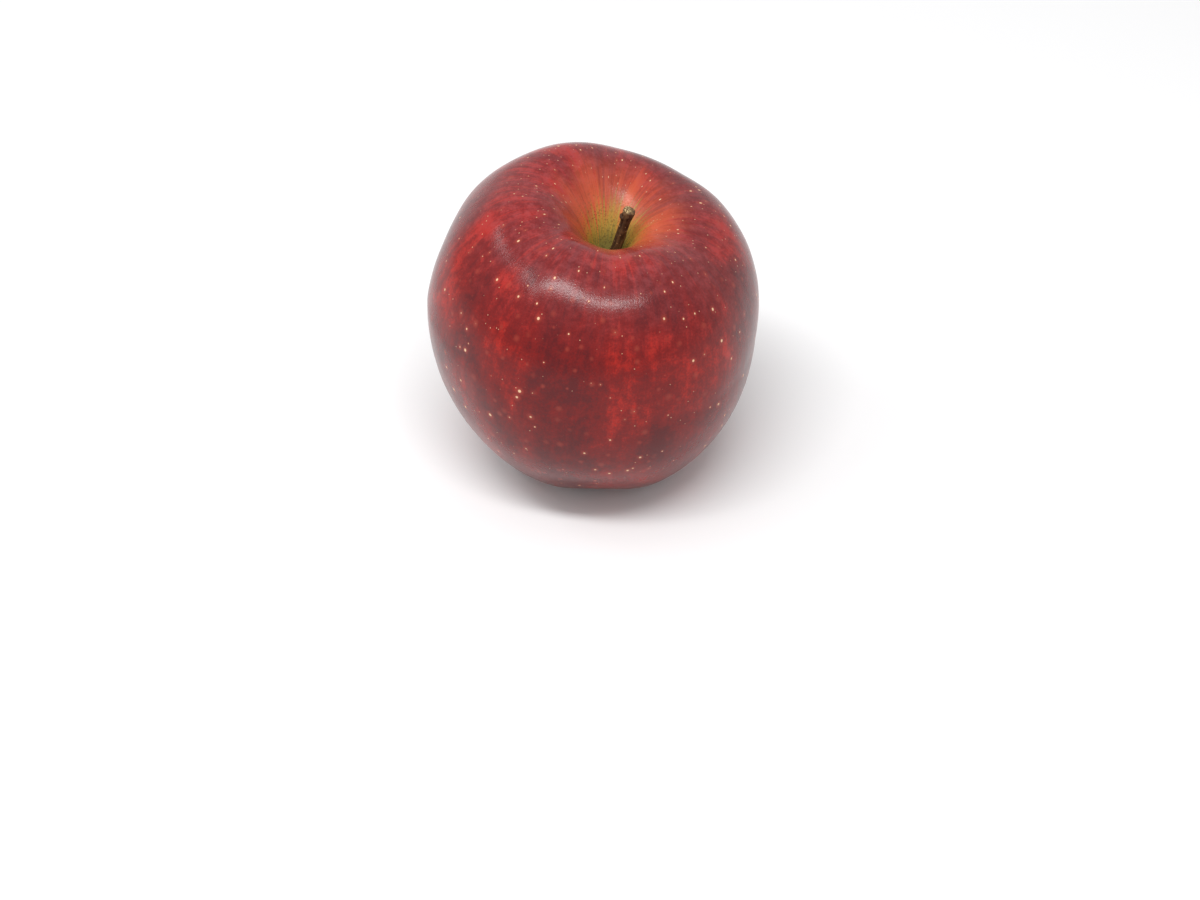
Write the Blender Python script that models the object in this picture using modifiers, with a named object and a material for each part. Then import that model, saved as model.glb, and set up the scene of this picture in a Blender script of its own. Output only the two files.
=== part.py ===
"""A ripe red apple with its woody stem, and the dried flower parts in the hollow under it.

Run it with:  blender --background --python part.py

The apple stands on the worn tips of its five basal lobes, at z = 0. The origin is at the foot of
the apple, under the middle of the box round it. The crown leans towards +X and is higher on the
other side, as on a fruit that grew fuller there.
"""

from math import acos, atan2, cos, pi, radians, sin

import bmesh
import bpy
from mathutils import Matrix, Vector

MM = 0.001

# ---------------------------------------------------------------- the fruit
SEGMENTS = 70  # round the fruit
RINGS = 44  # from the pole in the stem cavity to the pole in the calyx basin

# Half of an upright section through the fruit, in millimetres: ring number, radius, height.
OUTLINE = (
    (0, 0.0, 53.0),  # floor of the socket that the stem grows from
    (1, 1.2, 53.0),
    (2, 1.95, 53.2),
    (3, 2.0, 55.0),
    (4, 2.5, 56.2),  # floor of the stem cavity
    (6, 3.8, 59.0),
    (8, 5.4, 62.8),
    (10, 8.0, 66.8),
    (12, 12.0, 70.2),
    (14, 17.4, 72.2),  # crown
    (16, 24.0, 71.2),
    (18, 30.4, 66.8),
    (20, 35.7, 59.4),
    (22, 38.9, 50.4),
    (24, 40.0, 41.0),  # widest place
    (26, 39.2, 31.6),
    (28, 36.6, 22.4),
    (30, 32.4, 14.4),
    (32, 27.0, 7.6),
    (34, 21.2, 2.4),
    (35, 18.6, 0.8),
    (36, 16.2, 0.1),  # tips of the basal lobes
    (37, 13.8, 0.6),
    (38, 11.5, 2.5),
    (39, 9.4, 5.2),
    (40, 7.4, 7.6),
    (41, 5.6, 9.2),
    (42, 3.8, 10.2),  # floor of the calyx basin
    (43, 1.9, 10.7),
    (44, 0.0, 10.8),
)
SOCKET_RING = 1
CALYX_RING = 42
WIDEST_HEIGHT = 41.0 * MM
CROWN_HEIGHT = 72.2 * MM
LOBES_START_AT = 14 * MM  # nearer the axis than this the lobes fade out

# The five lobes, one for each seed chamber: azimuth, how much the crown rises there, how much the
# flank swells there, and how deep the valley before the next lobe is.
LOBES = (
    (radians(22), -0.6 * MM, 0.5 * MM, 0.55),
    (radians(116), 2.9 * MM, 0.7 * MM, 0.6),
    (radians(186), 1.2 * MM, -0.5 * MM, 0.8),
    (radians(240), 0.0 * MM, 0.1 * MM, 0.8),
    (radians(302), -0.4 * MM, 0.4 * MM, 1.0),
)
CROWN_DIP = 1.8 * MM
FLANK_DIP = 0.9 * MM
BASE_DIP = 2.6 * MM

LEAN = radians(8)
LEAN_FULL_AT = 22 * MM  # the lean grows from the foot up to this height
LEAN_PIVOT = 34 * MM
FOOT_SHIFT = 3.8 * MM
SOCKET_SHIFT = 1.7 * MM  # the stem grows to one side of the middle of its cavity
WORN = 0.6 * MM  # how much of the lobe tips is worn flat where the apple stands

# ---------------------------------------------------------------- the stem
GAP = 0.35 * MM  # between pieces that grow together
STEM_SIDES_RESOLUTION = 4
# Along the stem, from its foot in the socket: sideways, back, up, radius, all in millimetres.
STEM_POINTS = (
    (0.0, 0.0, 0.0, 1.45),
    (0.0, 0.0, 1.4, 1.5),
    (0.2, 0.0, 2.8, 1.4),
    (0.9, 0.1, 4.6, 1.25),
    (1.8, 0.2, 6.8, 1.2),
    (2.2, 0.3, 9.2, 1.2),
    (2.3, 0.3, 11.6, 1.25),
    (2.3, 0.3, 13.8, 1.25),
    (2.4, 0.3, 15.8, 1.35),
    (2.5, 0.3, 17.2, 1.5),
    (2.6, 0.3, 18.2, 1.8),
    (2.7, 0.3, 18.9, 1.85),
    (2.8, 0.3, 19.4, 1.6),
)

# ---------------------------------------------------------------- the dried flower
SEPAL_THICKNESS = 0.5 * MM
SEPAL_ROWS = 10
SEPAL_COLUMNS = 6
# The middle line of a sepal: distance from the axis, depth below the basin floor, half width.
SEPAL_LINE = (
    (3.6, 0.75, 1.55),
    (3.35, 2.0, 1.5),
    (3.0, 3.1, 1.15),
    (3.1, 4.1, 0.8),
    (3.8, 4.7, 0.45),
    (4.6, 4.85, 0.22),
)
SEPAL_CUP = 0.22  # how much a sepal is hollowed across, as a share of its half width

STAMEN_COUNT = 10
STAMEN_RADIUS = 0.2 * MM
STAMEN_RING = 1.9 * MM
STAMEN_LENGTH = 3.6 * MM
STYLE_RADIUS = 0.45 * MM
STYLE_LENGTH = 3.9 * MM


def along(knots, at):
    """The value at `at` on a smooth curve through knots, each a position and its value."""
    low = max(i for i in range(len(knots) - 1) if i == 0 or knots[i][0] <= at)
    slopes = []
    for i in (low, low + 1):
        before, after = knots[max(i - 1, 0)], knots[min(i + 1, len(knots) - 1)]
        slopes.append((after[1] - before[1]) / (after[0] - before[0]))
    (start, first), (end, last) = knots[low], knots[low + 1]
    step = end - start
    t = (at - start) / step
    return (
        first * (2 * t**3 - 3 * t**2 + 1)
        + slopes[0] * step * (t**3 - 2 * t**2 + t)
        + last * (3 * t**2 - 2 * t**3)
        + slopes[1] * step * (t**3 - t**2)
    )


OUTLINE_KNOTS = [(ring, Vector((radius, height)) * MM) for ring, radius, height in OUTLINE]
OUTLINE_POINTS = [along(OUTLINE_KNOTS, ring) for ring in range(RINGS + 1)]


def lobe_at(azimuth):
    """How deep in a valley this azimuth is, from 0 to 1, and the crown's rise and flank's swell."""
    for i, (start, rise, swell, depth) in enumerate(LOBES):
        end, next_rise, next_swell, _ = LOBES[(i + 1) % len(LOBES)]
        share = (azimuth - start) % (2 * pi) / ((end - start) % (2 * pi))
        if share < 1:
            break
    blend = (1 - cos(pi * share)) / 2
    valley = depth * (1 - cos(2 * pi * share)) / 2
    return valley, rise + (next_rise - rise) * blend, swell + (next_swell - swell) * blend


def fruit_point(ring, azimuth):
    """A point of the fruit's surface, before it is set down on its lobes."""
    radius, height = OUTLINE_POINTS[ring]
    crown = max(0.0, (height - WIDEST_HEIGHT) / (CROWN_HEIGHT - WIDEST_HEIGHT))
    base = max(0.0, (WIDEST_HEIGHT - height) / WIDEST_HEIGHT)
    outward = min(1.0, radius / LOBES_START_AT)
    valley, rise, swell = lobe_at(azimuth)
    height += (rise - CROWN_DIP * valley) * crown**2 * outward
    height += BASE_DIP * valley * base**3 * outward
    radius += (swell - FLANK_DIP * valley) * outward * (1 - base)
    x, y = radius * cos(azimuth), radius * sin(azimuth)
    if crown:
        x += SOCKET_SHIFT * (1 - outward) ** 2
    share = min(1.0, max(0.0, height / LEAN_FULL_AT))
    turn = LEAN * share**2 * (3 - 2 * share)
    above = height - LEAN_PIVOT
    leaned_x = x * cos(turn) + above * sin(turn) + FOOT_SHIFT * base
    return Vector((leaned_x, y, LEAN_PIVOT + above * cos(turn) - x * sin(turn)))


def ring_frame(ring):
    """A matrix at the middle of a ring, with its Z square to the ring and its X towards +X."""
    right, back, left, front = (fruit_point(ring, quarter * pi / 2) for quarter in range(4))
    x_axis = (right - left).normalized()
    z_axis = x_axis.cross(back - front).normalized()
    frame = Matrix((x_axis, z_axis.cross(x_axis), z_axis)).transposed().to_4x4()
    frame.translation = (right + back + left + front) / 4
    return frame


def new_material(name, colour, roughness):
    material = bpy.data.materials.new(name)
    material.use_nodes = True
    shader = material.node_tree.nodes["Principled BSDF"]
    shader.inputs["Base Color"].default_value = (*colour, 1)
    shader.inputs["Roughness"].default_value = roughness
    shader.inputs["Metallic"].default_value = 0
    return material


def add_piece(name, data, parent, parts):
    """Links a new object for one piece of the apple, placed by its parent."""
    piece = bpy.data.objects.new(name, data)
    parts.objects.link(piece)
    piece.parent = parent
    return piece


def add_seat(name, matrix, parent, parts):
    """An empty that pieces grow from."""
    seat = add_piece(name, None, parent, parts)
    seat.empty_display_size = 10 * MM
    seat.matrix_local = matrix
    return seat


def fruit_mesh(material):
    """The fruit as a sphere whose rings and meridians are moved onto the fruit's own surface."""
    shape = bmesh.new()
    bmesh.ops.create_uvsphere(shape, u_segments=SEGMENTS, v_segments=RINGS, radius=1.0)
    for vertex in shape.verts:
        ring = round(acos(max(-1.0, min(1.0, vertex.co.z))) / pi * RINGS)
        vertex.co = fruit_point(ring, atan2(vertex.co.y, vertex.co.x))
    floor = min(vertex.co.z for vertex in shape.verts) + WORN
    for vertex in shape.verts:
        vertex.co.z = max(vertex.co.z, floor)
    return finished_mesh("fruit", shape, material)


def sepal_mesh(material):
    """A pointed leaf that hangs from the rim of the calyx and curls out at its tip."""
    line = [
        (i / (len(SEPAL_LINE) - 1), Vector((out, -down, half)) * MM)
        for i, (out, down, half) in enumerate(SEPAL_LINE)
    ]
    shape = bmesh.new()
    bmesh.ops.create_grid(shape, x_segments=SEPAL_COLUMNS, y_segments=SEPAL_ROWS, size=1.0)
    for vertex in shape.verts:
        across, share = vertex.co.x, (1 - vertex.co.y) / 2
        out, up, half = along(line, share)
        vertex.co = Vector((out - SEPAL_CUP * half * across**2, half * across, up))
    return finished_mesh("sepal", shape, material)


def finished_mesh(name, shape, material):
    mesh = bpy.data.meshes.new(name)
    shape.to_mesh(mesh)
    shape.free()
    mesh.shade_smooth()
    mesh.materials.append(material)
    return mesh


def tube_curve(name, points, resolution, material):
    """A tube through points, each a place and a radius."""
    curve = bpy.data.curves.new(name, "CURVE")
    curve.dimensions = "3D"
    curve.bevel_depth = 1.0
    curve.bevel_resolution = resolution
    curve.use_fill_caps = True
    curve.materials.append(material)
    line = curve.splines.new("POLY")
    line.points.add(len(points) - 1)
    for knot, (place, radius) in zip(line.points, points):
        knot.co = (*place, 1)
        knot.radius = radius
    line.use_smooth = True
    return curve


def stem_curve(material):
    points = [(Vector((x, y, z)) * MM, radius * MM) for x, y, z, radius in STEM_POINTS]
    return tube_curve("stem", points, STEM_SIDES_RESOLUTION, material)


def stamen_curve(number, material):
    """A withered thread that stands in the mouth of the calyx and bends its own way."""
    azimuth = 2 * pi * number / STAMEN_COUNT
    length = STAMEN_LENGTH * (0.85 + 0.15 * cos(3.1 * number))
    points = []
    for share, width in ((0.0, 1.0), (0.3, 1.0), (0.6, 0.9), (0.85, 1.4), (1.0, 1.3)):
        turn = azimuth + 0.12 * share * sin(2.4 * number)
        out = STAMEN_RING - 0.45 * MM * share**2 + 0.3 * MM * share * cos(1.7 * number)
        place = Vector((out * cos(turn), out * sin(turn), -2 * GAP - length * share))
        points.append((place, STAMEN_RADIUS * width))
    return tube_curve("stamen", points, 1, material)


def style_curve(material):
    """The five withered styles, grown together into one column that splays at its end."""
    points = []
    for share, width in ((0.0, 1.0), (0.4, 0.75), (0.75, 0.8), (1.0, 1.25)):
        place = Vector((0, 0, -2 * GAP - STYLE_LENGTH * share))
        points.append((place, STYLE_RADIUS * width))
    return tube_curve("style", points, 2, material)


def main():
    for item in list(bpy.data.objects):
        bpy.data.objects.remove(item)
    parts = bpy.data.collections.new("apple")
    bpy.context.scene.collection.children.link(parts)

    skin = new_material("skin", (0.30, 0.018, 0.022), 0.3)
    bark = new_material("bark", (0.075, 0.042, 0.022), 0.8)
    dry_leaf = new_material("dry_leaf", (0.19, 0.13, 0.07), 0.85)
    dry_thread = new_material("dry_thread", (0.09, 0.055, 0.03), 0.9)

    mesh = fruit_mesh(skin)
    low = Vector(min(vertex.co[i] for vertex in mesh.vertices) for i in range(3))
    high = Vector(max(vertex.co[i] for vertex in mesh.vertices) for i in range(3))
    foot = Vector(((low.x + high.x) / 2, (low.y + high.y) / 2, low.z))
    apple = add_seat("apple", Matrix.Translation(-foot), None, parts)
    add_piece("fruit", mesh, apple, parts)

    socket = ring_frame(SOCKET_RING) @ Matrix.Translation((0, 0, GAP))
    stem_seat = add_seat("stem_seat", socket, apple, parts)
    add_piece("stem", stem_curve(bark), stem_seat, parts)

    calyx = add_seat("calyx_seat", ring_frame(CALYX_RING), apple, parts)
    leaf = sepal_mesh(dry_leaf)
    for i, (azimuth, _, _, _) in enumerate(LOBES):
        sepal = add_piece(f"sepal_{i + 1}", leaf, calyx, parts)
        sepal.rotation_euler.z = azimuth
        shell = sepal.modifiers.new("thickness", "SOLIDIFY")
        shell.thickness = SEPAL_THICKNESS
        shell.offset = 0
    for i in range(STAMEN_COUNT):
        add_piece(f"stamen_{i + 1:02d}", stamen_curve(i, dry_thread), calyx, parts)
    add_piece("style", style_curve(dry_thread), calyx, parts)


main()
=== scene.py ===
# A ripe dark red apple: its waxy skin, woody stem and dried flower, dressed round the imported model.
from math import cos, exp, pi, radians, sin

import bmesh
import bpy
from mathutils import Matrix, Vector, noise


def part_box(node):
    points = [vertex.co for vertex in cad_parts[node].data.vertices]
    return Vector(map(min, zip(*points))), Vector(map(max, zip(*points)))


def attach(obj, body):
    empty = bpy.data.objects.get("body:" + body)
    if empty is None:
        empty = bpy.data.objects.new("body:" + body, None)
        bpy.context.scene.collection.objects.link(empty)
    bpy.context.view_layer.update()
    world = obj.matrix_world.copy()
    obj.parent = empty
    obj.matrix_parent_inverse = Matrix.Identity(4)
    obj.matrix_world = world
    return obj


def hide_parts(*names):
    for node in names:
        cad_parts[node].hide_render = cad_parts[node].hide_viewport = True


mm = 0.001

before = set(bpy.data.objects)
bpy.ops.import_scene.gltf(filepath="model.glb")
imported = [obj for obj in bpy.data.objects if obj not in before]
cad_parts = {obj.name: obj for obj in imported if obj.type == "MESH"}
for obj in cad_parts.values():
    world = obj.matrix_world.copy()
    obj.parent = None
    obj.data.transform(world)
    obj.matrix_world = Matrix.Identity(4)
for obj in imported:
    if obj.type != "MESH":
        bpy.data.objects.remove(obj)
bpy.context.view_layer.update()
print("frame loaded:", len(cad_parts), "pieces")


def addNode(tree, kind, values=None, **settings):
    # a shader node whose inputs are either linked or set
    node = tree.nodes.new("ShaderNode" + kind)
    for key, value in settings.items():
        setattr(node, key, value)
    for key, value in (values or {}).items():
        socket = node.inputs[key]
        if isinstance(value, bpy.types.NodeSocket):
            tree.links.new(value, socket)
        else:
            socket.default_value = value
    return node


def doMath(tree, operation, *values):
    node = addNode(tree, "Math", dict(enumerate(values)), operation=operation)
    return node.outputs[0]


def addUp(tree, start, *terms):
    # a start value plus the product of each pair
    total = start
    for value, factor in terms:
        total = doMath(tree, "MULTIPLY_ADD", value, factor, total)
    return total


def fade(tree, value, start, end, low=0.0, high=1.0):
    # goes softly from low to high while value goes from start to end
    values = {"Value": value, "From Min": start, "From Max": end, "To Min": low, "To Max": high}
    return addNode(tree, "MapRange", values, interpolation_type="SMOOTHSTEP").outputs["Result"]


def blendColours(tree, share, first, second):
    # a share of the second colour over the first: each is a socket or three numbers
    values = {0: share}
    for index, colour in ((6, first), (7, second)):
        values[index] = (*colour, 1) if isinstance(colour, tuple) else colour
    return addNode(tree, "Mix", values, data_type="RGBA").outputs[2]


def stretch(tree, vector, scale):
    return addNode(tree, "Mapping", {"Vector": vector, "Scale": scale}).outputs["Vector"]


def clouds(tree, vector, size, detail, rough, warp=0.0):
    # noise whose blotches are about size metres wide
    values = {"Vector": vector, "Scale": 1 / size, "Detail": detail, "Roughness": rough,
              "Distortion": warp}
    return addNode(tree, "TexNoise", values).outputs["Fac"]


def newMaterial(name, specular):
    material = bpy.data.materials.new(name)
    material.use_nodes = True
    shader = material.node_tree.nodes["Principled BSDF"]
    shader.inputs["Specular IOR Level"].default_value = specular
    return material, material.node_tree, shader


def setBump(tree, shader, height, strength, distance):
    bump = addNode(tree, "Bump", {"Height": height, "Strength": strength, "Distance": distance})
    tree.links.new(bump.outputs["Normal"], shader.inputs["Normal"])


def newPiece(name, shape, material, node):
    # makes a piece from a bmesh, sets it on the apple and lets it stand for its plain solid
    mesh = bpy.data.meshes.new(name)
    shape.to_mesh(mesh)
    shape.free()
    mesh.shade_smooth()
    mesh.materials.append(material)
    piece = bpy.data.objects.new(name, mesh)
    bpy.context.scene.collection.objects.link(piece)
    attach(piece, "root")
    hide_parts(node)
    return piece


def subdivide(piece, levels):
    smooth = piece.modifiers.new("smooth", "SUBSURF")
    smooth.levels = levels
    smooth.render_levels = levels


camera = {
    "pitch": 40.5,  # degrees below the horizon
    "distance": 0.7,
    "lens": 87.66,
    "aim": (0.0, 0.0, 0.039),  # the point of the apple that the framing is set by
    "aimAcross": -0.0053,  # where that point lies in the frame, as a share of its width
    "aimUp": 0.1109,
}

studio = {
    "tableColour": (0.95, 0.95, 0.955),
    "tableRoughness": 0.7,
    "skyStrength": 0.63,
}

lights = {
    "frontBox": {"from": (-0.07, -0.30, 0.78), "size": (0.60, 0.10), "power": 4.1},
    "leftBox": {"from": (-0.50, -0.07, 0.68), "size": (0.50, 0.065), "power": 0.95},
}


def addCamera():
    # aimed so that the apple lies in the frame where "aimAcross" and "aimUp" say
    lens = bpy.data.cameras.new("camera")
    lens.lens = camera["lens"]
    lens.clip_start = 0.02
    eye = bpy.data.objects.new("camera", lens)
    bpy.context.scene.collection.objects.link(eye)
    pitch = radians(camera["pitch"])
    ahead = Vector((0, cos(pitch), -sin(pitch)))
    right = Vector((1, 0, 0))
    wide = lens.sensor_width / lens.lens
    ray = ahead + right * camera["aimAcross"] * wide + right.cross(ahead) * camera["aimUp"] * wide
    eye.location = Vector(camera["aim"]) - ray * camera["distance"]
    eye.rotation_euler = (pi / 2 - pitch, 0, 0)
    bpy.context.scene.camera = eye


def addLight(name, place, size, power):
    # a softbox that faces the apple
    lamp = bpy.data.lights.new(name, "AREA")
    lamp.shape = "RECTANGLE"
    lamp.size, lamp.size_y = size
    lamp.energy = power
    light = bpy.data.objects.new(name, lamp)
    bpy.context.scene.collection.objects.link(light)
    light.location = place
    away = light.location - Vector((0, 0, 0.04))
    light.rotation_euler = away.to_track_quat("Z", "Y").to_euler()


def addFloor():
    shape = bmesh.new()
    bmesh.ops.create_grid(shape, x_segments=2, y_segments=2, size=6.0)
    mesh = bpy.data.meshes.new("floor")
    shape.to_mesh(mesh)
    shape.free()
    floor = bpy.data.objects.new("floor", mesh)
    material, tree, shader = newMaterial("paleTable", specular=0.2)
    shader.inputs["Base Color"].default_value = (*studio["tableColour"], 1)
    shader.inputs["Roughness"].default_value = studio["tableRoughness"]
    mesh.materials.append(material)
    bpy.context.scene.collection.objects.link(floor)


def addWorld():
    world = bpy.data.worlds.new("studio")
    world.use_nodes = True
    sky = world.node_tree.nodes["Background"]
    sky.inputs["Color"].default_value = (1.0, 1.0, 1.0, 1)
    sky.inputs["Strength"].default_value = studio["skyStrength"]
    bpy.context.scene.world = world
    bpy.context.scene.view_settings.view_transform = "Standard"


addCamera()
for name, light in lights.items():
    addLight(name, light["from"], light["size"], light["power"])
addFloor()
addWorld()
print("studio set")


fruitShape = {
    # half of an upright section, in millimetres: step from the stem to the calyx, radius, height
    "outline": (
        (0, 0.0, 53.0), (1, 1.2, 53.0), (2, 1.95, 53.2), (3, 2.0, 55.0), (4, 2.5, 56.2),
        (6, 3.8, 59.0), (8, 5.4, 62.8), (10, 8.0, 66.8), (12, 12.0, 70.2), (14, 17.4, 72.2),
        (16, 24.0, 71.2), (18, 30.4, 66.8), (20, 35.7, 59.4), (22, 38.9, 50.4), (24, 40.0, 41.0),
        (26, 39.2, 31.6), (28, 36.6, 22.4), (30, 32.4, 14.4), (32, 27.0, 7.6), (34, 21.2, 2.4),
        (35, 18.6, 0.8), (36, 16.2, 0.1), (37, 13.8, 0.6), (38, 11.5, 2.5), (39, 9.4, 5.2),
        (40, 7.4, 7.6), (41, 5.6, 9.2), (42, 3.8, 10.2), (43, 1.9, 10.7), (44, 0.0, 10.8),
    ),
    # each lobe's azimuth, rise of the crown, swell of the flank and depth of the next valley
    "lobes": ((22, -0.6, 0.5, 0.55), (116, 2.9, 0.7, 0.6), (186, 1.2, -0.5, 0.8),
              (240, 0.0, 0.1, 0.8), (302, -0.4, 0.4, 1.0)),
    "widest": 41.0,
    "crown": 72.2,
    "dips": (1.8, 0.9, 2.6),  # of the crown, the flank and the base, in each valley
    "lean": 8.0,  # degrees
    "footShift": 3.8,
    "socketShift": 1.7,
    "worn": 0.6,
    "around": 280,
    "stepsPerRing": 4,
    # soft shoulders and a hollow in millimetres: place, rise and breadth
    "shoulders": (
        ((-26.1, 20.7, 63.5), 1.15, 13), ((-34.5, 12.1, 53.6), -0.7, 9), ((29.0, 19.6, 62.3), 0.9, 10),
        ((16.3, 24.5, 67.9), 0.8, 8), ((40.6, 6.8, 47.3), 0.3, 16),
    ),
    "undulation": 0.32,  # soft swellings of the flank
    "undulationSize": 24,
    "ripple": 0.05,
    "rippleSize": 5,
}


def outlineAt(step):
    # the radius and height at a step of the outline, on a smooth curve through its points
    knots = fruitShape["outline"]
    low = max(i for i in range(len(knots) - 1) if knots[i][0] <= step)
    slopes = []
    for i in (low, low + 1):
        before, after = knots[max(i - 1, 0)], knots[min(i + 1, len(knots) - 1)]
        slopes.append((Vector(after[1:]) - Vector(before[1:])) / (after[0] - before[0]))
    width = knots[low + 1][0] - knots[low][0]
    t = (step - knots[low][0]) / width
    start = Vector(knots[low][1:]) * (2 * t**3 - 3 * t**2 + 1)
    end = Vector(knots[low + 1][1:]) * (3 * t**2 - 2 * t**3)
    bend = slopes[0] * (t**3 - 2 * t**2 + t) + slopes[1] * (t**3 - t**2)
    return start + end + bend * width


def lobeAt(azimuth):
    # how deep in a valley, the crown's rise and the flank's swell
    lobes = fruitShape["lobes"]
    for i, (start, rise, swell, depth) in enumerate(lobes):
        end, nextRise, nextSwell, _ = lobes[(i + 1) % len(lobes)]
        share = (azimuth - start) % 360 / ((end - start) % 360)
        if share < 1:
            break
    mixed = (1 - cos(pi * share)) / 2
    valley = depth * (1 - cos(2 * pi * share)) / 2
    return valley, rise + (nextRise - rise) * mixed, swell + (nextSwell - swell) * mixed


def skinPoint(outline, azimuth):
    # a point of the skin in millimetres, before it is set down
    radius, height = outline
    crown = max(0.0, (height - fruitShape["widest"]) / (fruitShape["crown"] - fruitShape["widest"]))
    base = max(0.0, (fruitShape["widest"] - height) / fruitShape["widest"])
    outward = min(1.0, radius / 14)
    crownDip, flankDip, baseDip = fruitShape["dips"]
    valley, rise, swell = lobeAt(azimuth)
    height += (rise - crownDip * valley) * crown**2 * outward + baseDip * valley * base**3 * outward
    radius += (swell - flankDip * valley) * outward * (1 - base)
    x, y = radius * cos(radians(azimuth)), radius * sin(radians(azimuth))
    if crown:
        x += fruitShape["socketShift"] * (1 - outward) ** 2
    share = min(1.0, max(0.0, height / 22))
    turn = radians(fruitShape["lean"]) * share**2 * (3 - 2 * share)
    above = height - 34
    leanedX = x * cos(turn) + above * sin(turn) + fruitShape["footShift"] * base
    return Vector((leanedX, y, 34 + above * cos(turn) - x * sin(turn)))


def makeFruit(material):
    around, steps = fruitShape["around"], fruitShape["stepsPerRing"]
    last = fruitShape["outline"][-1][0] * steps
    shape = bmesh.new()
    # where a point is when the skin is rolled out on a drum: its direction round the fruit at
    # the drum's own radius, and the way along the skin from the stem, in metres
    layer = shape.verts.layers.float_vector.new("skinPlace")
    rows, along, before = [], 0.0, None
    for step in range(last + 1):
        outline = outlineAt(step / steps)
        along += (outline - before).length if before else 0.0
        before = outline
        row = []
        for k in range(1 if step in (0, last) else around):
            azimuth = 360 * k / around
            vertex = shape.verts.new(skinPoint(outline, azimuth))
            vertex[layer] = Vector((40 * cos(radians(azimuth)), 40 * sin(radians(azimuth)), along)) * mm
            row.append(vertex)
        rows.append(row)
    for upper, lower in zip(rows, rows[1:]):
        for k in range(around):
            corners = [upper[k % len(upper)], lower[k % len(lower)],
                       lower[(k + 1) % len(lower)], upper[(k + 1) % len(upper)]]
            shape.faces.new(list(dict.fromkeys(corners)))
    shape.normal_update()
    swells = []
    for vertex in shape.verts:
        swell = noise.noise(vertex.co / fruitShape["undulationSize"]) * fruitShape["undulation"]
        swell += noise.noise(vertex.co / fruitShape["rippleSize"]) * fruitShape["ripple"]
        for place, rise, breadth in fruitShape["shoulders"]:
            swell += rise * exp(-((vertex.co - Vector(place)).length / breadth) ** 2)
        swells.append(vertex.normal * (swell - 0.1))
    for vertex, swell in zip(shape.verts, swells):
        vertex.co += swell
    # set it down where the plain fruit stands
    lows = [min(vertex.co[axis] for vertex in shape.verts) for axis in range(3)]
    highs = [max(vertex.co[axis] for vertex in shape.verts) for axis in range(3)]
    low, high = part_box("fruit")
    shift = [(low[axis] + high[axis]) / 2 / mm - (lows[axis] + highs[axis]) / 2 for axis in range(3)]
    shift[2] = -lows[2] - fruitShape["worn"]
    for vertex in shape.verts:
        vertex.co = (vertex.co + Vector(shift)) * mm
        vertex.co.z = max(vertex.co.z, 0.0)
    return newPiece("appleSkin", shape, material, "fruit")


skinLook = {
    "plum": (0.100, 0.0050, 0.0065),
    "deep": (0.180, 0.0056, 0.0048),
    "bright": (0.43, 0.0150, 0.0072),
    "bloomAndReflection": (0.25, 0.075, 0.085),  # the pale veil over the crown: partly the real waxy bloom, partly a painted reflection of the lights
    "blush": (0.62, 0.115, 0.042),  # streaks where the red thins out towards the stem
    "gold": (0.47, 0.30, 0.048),
    "olive": (0.22, 0.185, 0.045),
    "russet": (0.10, 0.058, 0.018),
    "dot": (0.78, 0.50, 0.30),
    "dotHalo": (0.36, 0.050, 0.030),
    "roughness": 0.22,
    "specular": 0.30,
    # breadth in millimetres and share of length of the noises along the skin
    "hair": (0.75, 0.07),
    "streak": (2.6, 0.14),
    "band": (13, 0.35),
    "mottle": 2.2,
    "grain": 0.5,
    "patch": 15,
    "fleck": 0.5,
    # how much each noise brightens the red
    "toneShares": {"band": 0.50, "patch": 1.00, "mottle": 0.48, "grain": 0.34,
                   "streak": 0.22, "hair": 0.18},
    "crownShares": {"streak": 0.30, "hair": 0.25},  # and how much more over the crown
    "flankTone": (-1.06, -1.16),
    "crownTone": -0.20,
    "deepTones": (0.04, 0.32),
    "brightTones": (0.28, 0.62),
    # where each colour fades in, in metres along the skin from the stem
    "crownEnds": (0.060, 0.028),
    "flankEnds": (0.058, 0.095),
    "cavityEnds": (0.026, 0.012),
    "blushEnds": (0.034, 0.018),
    "goldEnds": (0.0215, 0.0130),
    "oliveEnds": (0.0155, 0.0095),
    "bottomEnds": (0.120, 0.140),
    "basinEnds": (0.126, 0.142),
    "ragged": {"streak": 0.020, "hair": 0.007},  # how far the streaks move those ends
    "farSide": (0.07, 0.05),  # how much sooner the red thins along x and y
    # how much of the pale crown veil is mixed in: partly the real waxy bloom, partly a painted
    # reflection of the lights
    "bloomReflectionShare": (0.16, 0.46),
    "dotSpacing": 3.4,
    "dotSize": (0.052, 0.147),  # smallest and largest, as shares of the spacing
    "speckSpacing": 2.3,
    "speckSize": (0.080, 0.100),  # on the flank and over the crown
    "bumpHeight": 0.065,
}


def streaks(tree, place, width, squash, detail, rough, warp):
    # noise drawn out from the stem towards the calyx
    return clouds(tree, stretch(tree, place, (1, 1, squash)), width * mm, detail, rough, warp)


def makeNoises(tree, place, solid):
    look = skinLook
    return {
        "hair": streaks(tree, place, *look["hair"], 3, 0.6, 0.0),
        "streak": streaks(tree, place, *look["streak"], 4, 0.6, 0.3),
        "band": streaks(tree, place, *look["band"], 3, 0.5, 0.5),
        "mottle": clouds(tree, solid, look["mottle"] * mm, 4, 0.62),
        "grain": clouds(tree, solid, look["grain"] * mm, 2, 0.6),
        "patch": clouds(tree, stretch(tree, solid, (1, 1, 0.7)), look["patch"] * mm, 3, 0.55, 0.6),
    }


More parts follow.
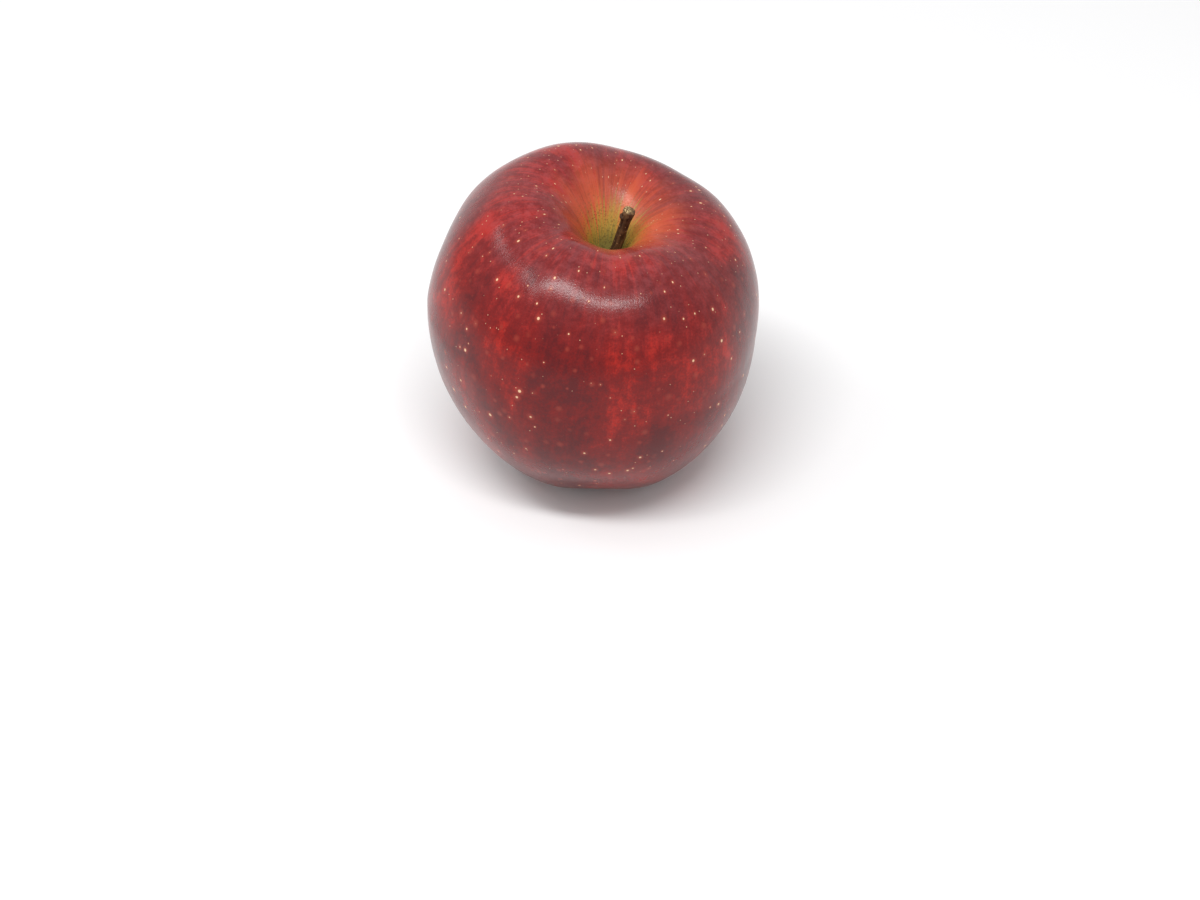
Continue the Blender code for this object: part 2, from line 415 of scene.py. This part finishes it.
def makeRed(tree, noises, along, crown):
    # plum mottles, a deep ground and brighter patches
    look = skinLook
    ground = fade(tree, along, *look["flankEnds"], *look["flankTone"])
    shares = [(noises[name], share) for name, share in look["toneShares"].items()]
    tone = addUp(tree, ground, (crown, look["crownTone"]), *shares)
    streaky = addUp(tree, 0.0, *((noises[name], share) for name, share in look["crownShares"].items()))
    tone = addUp(tree, tone, (crown, streaky))
    red = blendColours(tree, fade(tree, tone, *look["deepTones"]), look["plum"], look["deep"])
    return blendColours(tree, fade(tree, tone, *look["brightTones"]), red, look["bright"])


def thinRed(tree, red, noises, parts, crown, flecked):
    # the red thins towards the stem, sooner on the far side, and again round the calyx
    look = skinLook
    along = parts.outputs["Z"]
    ragged = addUp(tree, -0.010, *((noises[name], share) for name, share in look["ragged"].items()))
    alongX, alongY = look["farSide"]
    reach = addUp(tree, along, (ragged, 1), (parts.outputs["X"], -alongX), (parts.outputs["Y"], -alongY))
    # painted reflection: a pale veil over the crown, where the skin faces the lights, stands partly for
    # the real waxy bloom and partly for the lights' reflected haze
    bloomReflectionShare = fade(tree, addUp(tree, noises["mottle"], (noises["grain"], 0.3)), 0.5, 0.85, *look["bloomReflectionShare"])
    colour = blendColours(tree, doMath(tree, "MULTIPLY", crown, bloomReflectionShare), red, look["bloomAndReflection"])
    strands = addUp(tree, 0.0, (noises["streak"], 0.5), (noises["hair"], 0.2), (noises["band"], 0.3))
    strands = fade(tree, strands, 0.41, 0.57, 0.26, 1.0)
    thin = doMath(tree, "MULTIPLY", fade(tree, reach, *look["blushEnds"]), strands)
    colour = blendColours(tree, thin, colour, look["blush"])
    colour = blendColours(tree, fade(tree, reach, *look["goldEnds"]), colour, look["gold"])
    colour = blendColours(tree, fade(tree, reach, *look["oliveEnds"]), colour, look["olive"])
    colour = blendColours(tree, doMath(tree, "MULTIPLY", flecked, 0.60), colour, look["russet"])
    under = addUp(tree, along, (ragged, -1))
    colour = blendColours(tree, fade(tree, under, *look["bottomEnds"], 0.0, 0.45), colour, look["blush"])
    return blendColours(tree, fade(tree, under, *look["basinEnds"]), colour, look["olive"])


def makeDots(tree, place, crown, cavity):
    # pale breathing dots outside the cavity: large and few with halos, then small and many
    look = skinLook
    dots = addNode(tree, "TexVoronoi", {"Vector": place, "Scale": 1 / (look["dotSpacing"] * mm)})
    chance = addNode(tree, "SeparateColor", {"Color": dots.outputs["Color"]}).outputs["Red"]
    smallest, largest = look["dotSize"]
    size = addUp(tree, smallest, (chance, largest - smallest))
    edge = doMath(tree, "MULTIPLY", size, 0.55)
    dot = fade(tree, dots.outputs["Distance"], size, edge)
    halo = fade(tree, dots.outputs["Distance"], doMath(tree, "MULTIPLY", size, 3.0), edge, 0.0, 0.55)
    specks = addNode(tree, "TexVoronoi", {"Vector": place, "Scale": 1 / (look["speckSpacing"] * mm)})
    onFlank, onCrown = look["speckSize"]
    size = addUp(tree, onFlank, (crown, onCrown - onFlank))
    edge = doMath(tree, "MULTIPLY", size, 0.4)
    speck = fade(tree, specks.outputs["Distance"], size, edge, 0.0, 0.75)
    outside = doMath(tree, "SUBTRACT", 1.0, cavity)
    return [doMath(tree, "MULTIPLY", mark, outside) for mark in (halo, speck, dot)]


def makeSkin():
    material, tree, shader = newMaterial("waxyRedSkin", specular=skinLook["specular"])
    place = addNode(tree, "Attribute", attribute_name="skinPlace").outputs["Vector"]
    solid = addNode(tree, "TexCoord").outputs["Object"]
    parts = addNode(tree, "SeparateXYZ", {"Vector": place})
    crown = fade(tree, parts.outputs["Z"], *skinLook["crownEnds"])
    cavity = fade(tree, parts.outputs["Z"], *skinLook["cavityEnds"])
    noises = makeNoises(tree, place, solid)
    fleck = fade(tree, clouds(tree, solid, skinLook["fleck"] * mm, 3, 0.7), 0.50, 0.66)
    flecked = doMath(tree, "MULTIPLY", fleck, cavity)
    halo, speck, dot = makeDots(tree, place, crown, cavity)

    colour = makeRed(tree, noises, parts.outputs["Z"], crown)
    colour = thinRed(tree, colour, noises, parts, crown, flecked)
    colour = blendColours(tree, halo, colour, skinLook["dotHalo"])
    colour = blendColours(tree, speck, colour, skinLook["dot"])
    colour = blendColours(tree, dot, colour, skinLook["dot"])
    tree.links.new(colour, shader.inputs["Base Color"])

    smooth = skinLook["roughness"] - 0.05
    gloss = addUp(tree, smooth, (noises["streak"], 0.10), (cavity, 0.22), (dot, 0.2))
    tree.links.new(gloss, shader.inputs["Roughness"])
    height = addUp(tree, noises["grain"], (noises["hair"], 0.6), (flecked, 0.5), (dot, 0.8))
    setBump(tree, shader, height, 0.5, skinLook["bumpHeight"] * mm)
    return material


fruit = makeFruit(makeSkin())
print("fruit dressed:", len(fruit.data.polygons), "faces")


def addSocket(group, name, kind, inOut, value=None):
    socket = group.interface.new_socket(name=name, in_out=inOut, socket_type="NodeSocket" + kind)
    if value is not None:
        socket.default_value = value


def makeFibreGroup():
    # dry plant fibre: long fine strands with lighter flecks, as a colour and a height
    group = bpy.data.node_groups.new("dryFibre", "ShaderNodeTree")
    for name in ("dark", "pale", "fleck"):
        addSocket(group, name, "Color", "INPUT")
    addSocket(group, "strandSize", "Float", "INPUT", 0.3 * mm)
    addSocket(group, "fleckAmount", "Float", "INPUT", 0.5)
    addSocket(group, "colour", "Color", "OUTPUT")
    addSocket(group, "height", "Float", "OUTPUT")
    given = group.nodes.new("NodeGroupInput")
    result = group.nodes.new("NodeGroupOutput")
    place = addNode(group, "Attribute", attribute_name="fibrePlace").outputs["Vector"]
    scale = doMath(group, "DIVIDE", 1.0, given.outputs["strandSize"])
    strands = addNode(group, "TexNoise", {
        "Vector": stretch(group, place, (1, 1, 0.12)), "Scale": scale, "Detail": 4.0, "Roughness": 0.65,
    }).outputs["Fac"]
    patch = addNode(group, "TexNoise", {
        "Vector": stretch(group, place, (1, 1, 0.6)), "Scale": doMath(group, "MULTIPLY", scale, 0.35),
        "Detail": 3.0,
    }).outputs["Fac"]
    spotScale = doMath(group, "MULTIPLY", scale, 0.45)
    spots = addNode(group, "TexVoronoi", {"Vector": place, "Scale": spotScale})
    paleness = fade(group, addUp(group, 0.0, (patch, 0.8), (strands, 0.9)), 0.66, 1.02)
    colour = blendColours(group, paleness, given.outputs["dark"], given.outputs["pale"])
    fleck = doMath(group, "MULTIPLY", fade(group, spots.outputs["Distance"], 0.24, 0.1),
                   given.outputs["fleckAmount"])
    colour = blendColours(group, fleck, colour, given.outputs["fleck"])
    group.links.new(colour, result.inputs["colour"])
    group.links.new(addUp(group, strands, (fleck, 0.4)), result.inputs["height"])
    return group


fibre = makeFibreGroup()


def addFibre(tree, dark, pale, fleck, strandSize, fleckAmount):
    node = tree.nodes.new("ShaderNodeGroup")
    node.node_tree = fibre
    node.inputs["dark"].default_value = (*dark, 1)
    node.inputs["pale"].default_value = (*pale, 1)
    node.inputs["fleck"].default_value = (*fleck, 1)
    node.inputs["strandSize"].default_value = strandSize
    node.inputs["fleckAmount"].default_value = fleckAmount
    return node


def crossAxes(ahead):
    # two axes square to a direction
    side = ahead.cross(Vector((0, 1, 0))).normalized()
    return side, ahead.cross(side)


def smoothPath(points, steps):
    # a smooth curve through points that each hold any numbers
    path = []
    for i in range(len(points) - 1):
        before, after = points[max(i - 1, 0)], points[min(i + 2, len(points) - 1)]
        for k in range(steps):
            t = k / steps
            path.append([
                b + t * (0.5 * (c - a) + t * (a - 2.5 * b + 2 * c - 0.5 * d
                         + t * (1.5 * (b - c) + 0.5 * (d - a))))
                for a, b, c, d in zip(before, points[i], points[i + 1], after)
            ])
    return path + [list(points[-1])]


def sweepTube(path, sides, outline, capHeight):
    # a closed tube along (x, y, z, radius) rows: outline gives a factor for each row and angle
    shape = bmesh.new()
    layer = shape.verts.layers.float_vector.new("fibrePlace")
    rows, along = [], 0.0
    for i, (x, y, z, radius) in enumerate(path):
        here = Vector((x, y, z))
        ahead = Vector(path[min(i + 1, len(path) - 1)][:3]) - Vector(path[max(i - 1, 0)][:3])
        side, back = crossAxes(ahead.normalized())
        if i:
            along += (here - Vector(path[i - 1][:3])).length
        row = []
        for k in range(sides):
            angle = 2 * pi * k / sides
            reach = radius * outline(i / (len(path) - 1), angle)
            vertex = shape.verts.new(here + side * (reach * cos(angle)) + back * (reach * sin(angle)))
            vertex[layer] = Vector((radius * cos(angle), radius * sin(angle), along))
            row.append(vertex)
        rows.append(row)
    for lower, upper in zip(rows, rows[1:]):
        for k in range(sides):
            shape.faces.new((lower[k], lower[(k + 1) % sides], upper[(k + 1) % sides], upper[k]))
    for row, end, inner, height in ((rows[0], path[0], path[1], 0.0),
                                    (rows[-1], path[-1], path[-2], capHeight)):
        out = (Vector(end[:3]) - Vector(inner[:3])).normalized()
        tip = shape.verts.new(Vector(end[:3]) + out * height)
        tip[layer] = Vector((0, 0, row[0][layer].z))
        for k in range(sides):
            shape.faces.new((row[k], row[(k + 1) % sides], tip))
    bmesh.ops.recalc_face_normals(shape, faces=shape.faces)
    return shape


stemShape = {
    # up the middle of the stem, in millimetres, with its radius
    "path": (
        (2.74, -0.41, 52.36, 1.9), (2.96, -0.44, 53.64, 1.85), (3.37, -0.46, 55.0, 1.7),
        (4.12, -0.39, 56.67, 1.35), (5.0, -0.33, 58.7, 1.25), (5.72, -0.28, 61.02, 1.2),
        (6.36, -0.32, 63.37, 1.2), (6.9, -0.36, 65.55, 1.2), (7.45, -0.39, 67.51, 1.22),
        (7.86, -0.42, 68.87, 1.32), (8.14, -0.43, 69.85, 1.42), (8.34, -0.45, 70.52, 1.42),
        (8.48, -0.46, 70.9, 1.18),
    ),
    "steps": 6,
    "sides": 40,
    "ridges": 0.112,  # depth of the ridges along the bark, as a share of the radius
    "knobs": 0.10,
    "budScar": {"share": 0.735, "spread": 0.03, "rise": 0.45},  # the little bump below the tip
}
stemLook = {
    "dark": (0.030, 0.013, 0.006),
    "pale": (0.125, 0.062, 0.025),
    "fleck": (0.42, 0.26, 0.12),
    "scar": (0.62, 0.47, 0.22),  # the broken end
    "young": (0.17, 0.12, 0.03),  # at the foot
    "strandSize": 0.5,
    "bumpHeight": 0.18,
}


def stemOutline(share, angle):
    # how far the bark stands out at a share of the way up and an angle round the stem
    height = share * 9
    ridge = noise.noise(Vector((cos(angle) * 2.6, sin(angle) * 2.6, height * 0.55)))
    knob = noise.noise(Vector((cos(angle) * 1.1 + 7, sin(angle) * 1.1, height * 1.5)))
    scar = stemShape["budScar"]
    bump = exp(-((share - scar["share"]) / scar["spread"]) ** 2) * max(0.0, cos(angle)) ** 3
    return 1 + stemShape["ridges"] * ridge + stemShape["knobs"] * knob + scar["rise"] * bump


def makeStemBark():
    material, tree, shader = newMaterial("woodyBark", specular=0.3)
    look = stemLook
    node = addFibre(tree, look["dark"], look["pale"], look["fleck"], look["strandSize"] * mm, 0.55)
    place = addNode(tree, "Attribute", attribute_name="fibrePlace").outputs["Vector"]
    parts = addNode(tree, "SeparateXYZ", {"Vector": place})
    tip = max(vertex.co.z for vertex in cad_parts["stem"].data.vertices)
    solid = addNode(tree, "TexCoord").outputs["Object"]
    level = addNode(tree, "SeparateXYZ", {"Vector": solid}).outputs["Z"]
    level = addUp(tree, level, (clouds(tree, solid, 0.9 * mm, 3, 0.6), 1.0 * mm))
    rim = fade(tree, level, tip - 1.2 * mm, tip - 0.4 * mm, 0.0, 0.22)
    scar = fade(tree, level, tip - 0.35 * mm, tip + 0.05 * mm)
    colour = blendColours(tree, rim, node.outputs["colour"], look["fleck"])
    broken = fade(tree, clouds(tree, solid, 0.42 * mm, 3, 0.6), 0.49, 0.55, 0.0, 0.95)
    colour = blendColours(tree, doMath(tree, "MULTIPLY", scar, broken), colour, look["scar"])
    young = fade(tree, parts.outputs["Z"], 6.0 * mm, 2.0 * mm, 0.0, 0.5)
    colour = blendColours(tree, young, colour, look["young"])
    tree.links.new(colour, shader.inputs["Base Color"])
    rough = addUp(tree, 0.5, (node.outputs["height"], 0.3))
    tree.links.new(rough, shader.inputs["Roughness"])
    setBump(tree, shader, node.outputs["height"], 0.8, look["bumpHeight"] * mm)
    return material


def makeStem():
    path = smoothPath([[value * mm for value in row] for row in stemShape["path"]], stemShape["steps"])
    shape = sweepTube(path, stemShape["sides"], stemOutline, 0.08 * mm)
    newPiece("woodyStem", shape, makeStemBark(), "stem")


makeStem()
print("stem made")


calyx = {  # the dried flower in the basin under the fruit
    "middle": (-0.01, -0.41, 9.68),  # in millimetres, on the floor of the basin
    "up": (0.0418, 0.0189, 0.9989),
    "sepalDirections": (22, 116, 186, 240, 302),
    # a sepal's middle line: distance from the axis, depth below the floor, half width
    "sepalLine": (
        (3.45, 0.35, 1.5), (3.4, 1.3, 1.6), (3.2, 2.3, 1.4), (3.0, 3.2, 1.05),
        (3.2, 4.0, 0.75), (3.8, 4.6, 0.45), (4.5, 4.8, 0.12),
    ),
    "sepalThickness": 0.22,
    "stamenCount": 10,
    "stamenLength": 3.6,
    "styleLength": 3.9,
}
dryLook = {
    "leafDark": (0.060, 0.036, 0.018),
    "leafPale": (0.24, 0.17, 0.095),
    "leafFleck": (0.36, 0.30, 0.20),
    "threadDark": (0.030, 0.017, 0.009),
    "threadPale": (0.13, 0.080, 0.042),
    "leafStrand": 0.28,
    "leafBump": 0.10,
    "threadStrand": 0.2,
    "threadBump": 0.05,
}


def calyxMatrix():
    up = Vector(calyx["up"]).normalized()
    across = Vector((1, 0, 0))
    across = (across - up * across.dot(up)).normalized()
    matrix = Matrix((across, up.cross(across), up)).transposed().to_4x4()
    matrix.translation = Vector(calyx["middle"]) * mm
    return matrix


def makeDryMaterial(name, dark, pale, fleck, strandSize, fleckAmount, bump):
    material, tree, shader = newMaterial(name, specular=0.2)
    node = addFibre(tree, dark, pale, fleck, strandSize, fleckAmount)
    tree.links.new(node.outputs["colour"], shader.inputs["Base Color"])
    rough = addUp(tree, 0.7, (node.outputs["height"], 0.2))
    tree.links.new(rough, shader.inputs["Roughness"])
    shader.inputs["Sheen Weight"].default_value = 0.25
    setBump(tree, shader, node.outputs["height"], 0.7, bump)
    return material


def makeSepal(number, direction, matrix, material):
    line = smoothPath(calyx["sepalLine"], 4)
    turn = matrix @ Matrix.Rotation(radians(direction), 4, "Z")
    shape = bmesh.new()
    layer = shape.verts.layers.float_vector.new("fibrePlace")
    rows = []
    for i, (out, down, half) in enumerate(line):
        row = []
        for k in range(9):
            across = k / 4 - 1
            seed = Vector((number * 5.3, i * 0.22, across * 1.4))
            crumple = noise.noise(seed) * 0.30 * (i / len(line))
            ragged = 1 + 0.16 * noise.noise(Vector((number * 3.1, i * 0.8, 2.0 if across > 0 else 5.0)))
            wide = half * across * ragged
            cup = 0.22 * half * across * across
            point = Vector((out - cup + crumple, wide, -down + 0.5 * crumple)) * mm
            vertex = shape.verts.new(turn @ point)
            vertex[layer] = Vector((wide * mm, number * mm, down * mm))
            row.append(vertex)
        rows.append(row)
    for upper, lower in zip(rows, rows[1:]):
        for k in range(8):
            shape.faces.new((upper[k], lower[k], lower[k + 1], upper[k + 1]))
    sepal = newPiece(f"driedSepal{number}", shape, material, f"sepal_{number}")
    shell = sepal.modifiers.new("thickness", "SOLIDIFY")
    shell.thickness = calyx["sepalThickness"] * mm
    shell.offset = 0
    subdivide(sepal, 1)


def makeStamen(number, matrix, material):
    angle = 2 * pi * number / calyx["stamenCount"]
    length = calyx["stamenLength"] * (0.85 + 0.15 * cos(3.1 * number))
    rows = []
    for share, radius in ((0, 0.17), (0.2, 0.13), (0.45, 0.11), (0.7, 0.10), (0.8, 0.16),
                          (0.88, 0.26), (0.95, 0.24), (1, 0.12)):
        turn = angle + 0.12 * share * sin(2.4 * number)
        out = 1.9 - 0.45 * share**2 + 0.3 * share * cos(1.7 * number)
        kink = 0.08 * noise.noise(Vector((number * 2.7, share * 4, 1)))
        point = matrix @ (Vector((out * cos(turn) + kink, out * sin(turn), -0.25 - length * share)) * mm)
        rows.append([*point, radius * mm])
    shape = sweepTube(smoothPath(rows, 2), 10, lambda share, turn: 1 + 0.15 * sin(3 * turn + 9 * share),
                      0.03 * mm)
    newPiece(f"driedStamen{number + 1:02d}", shape, material, f"stamen_{number + 1:02d}")


def makeStyle(matrix, material):
    rows = []
    for share, radius in ((0, 0.55), (0.15, 0.42), (0.4, 0.32), (0.7, 0.34), (0.9, 0.46), (1, 0.30)):
        point = matrix @ (Vector((0, 0, -0.25 - calyx["styleLength"] * share)) * mm)
        rows.append([*point, radius * mm])
    shape = sweepTube(smoothPath(rows, 3), 30,
                      lambda share, turn: 1 + (0.06 + 0.16 * share) * cos(5 * turn), 0.05 * mm)
    newPiece("driedStyle", shape, material, "style")


leafMaterial = makeDryMaterial(
    "witheredLeaf", dryLook["leafDark"], dryLook["leafPale"], dryLook["leafFleck"],
    dryLook["leafStrand"] * mm, 0.4, dryLook["leafBump"] * mm)
threadMaterial = makeDryMaterial(
    "witheredThread", dryLook["threadDark"], dryLook["threadPale"], dryLook["threadPale"],
    dryLook["threadStrand"] * mm, 0.3, dryLook["threadBump"] * mm)
seat = calyxMatrix()
for number, direction in enumerate(calyx["sepalDirections"], 1):
    makeSepal(number, direction, seat, leafMaterial)
for number in range(calyx["stamenCount"]):
    makeStamen(number, seat, threadMaterial)
makeStyle(seat, threadMaterial)
print("dried flower made")
